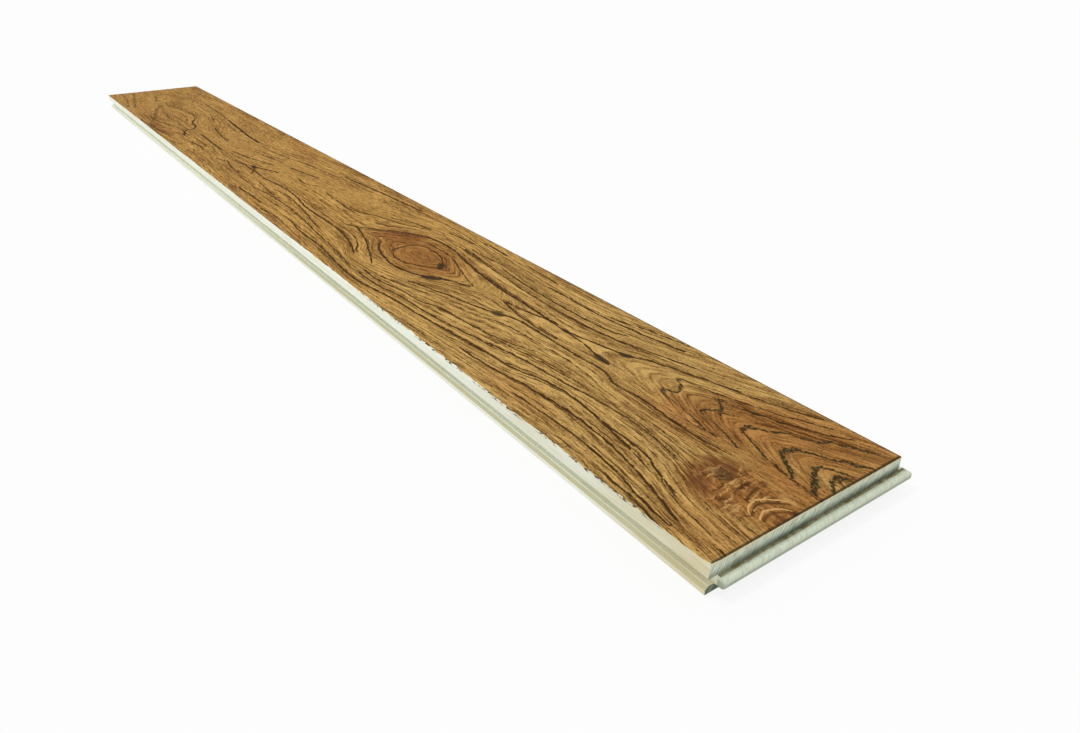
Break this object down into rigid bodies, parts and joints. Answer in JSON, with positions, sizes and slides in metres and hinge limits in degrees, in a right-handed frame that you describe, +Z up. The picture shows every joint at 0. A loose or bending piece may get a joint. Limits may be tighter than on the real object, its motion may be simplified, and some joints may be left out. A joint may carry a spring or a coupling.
{
  "type": "hardwood floorboard",
  "caption": "Solid hardwood floorboard with a stained, lacquered face, raw sides, and a tongue-and-groove joint on its long sides and ends.",
  "frame": {"origin": "on the underside, under the middle of the whole board with its tongues", "axes": "+X along the board towards the end with the tongue, +Y across it towards the long side with the tongue, +Z up from the underside to the finished face"},
  "size_m": [1.2144, 0.1296, 0.018],
  "materials": {
    "hardwood": "stained golden brown and lacquered on the face, raw pale wood on the sides, ends and underside"
  },
  "bodies": {
    "root": {"floorboard": "hardwood"}
  },
  "joints": []
}
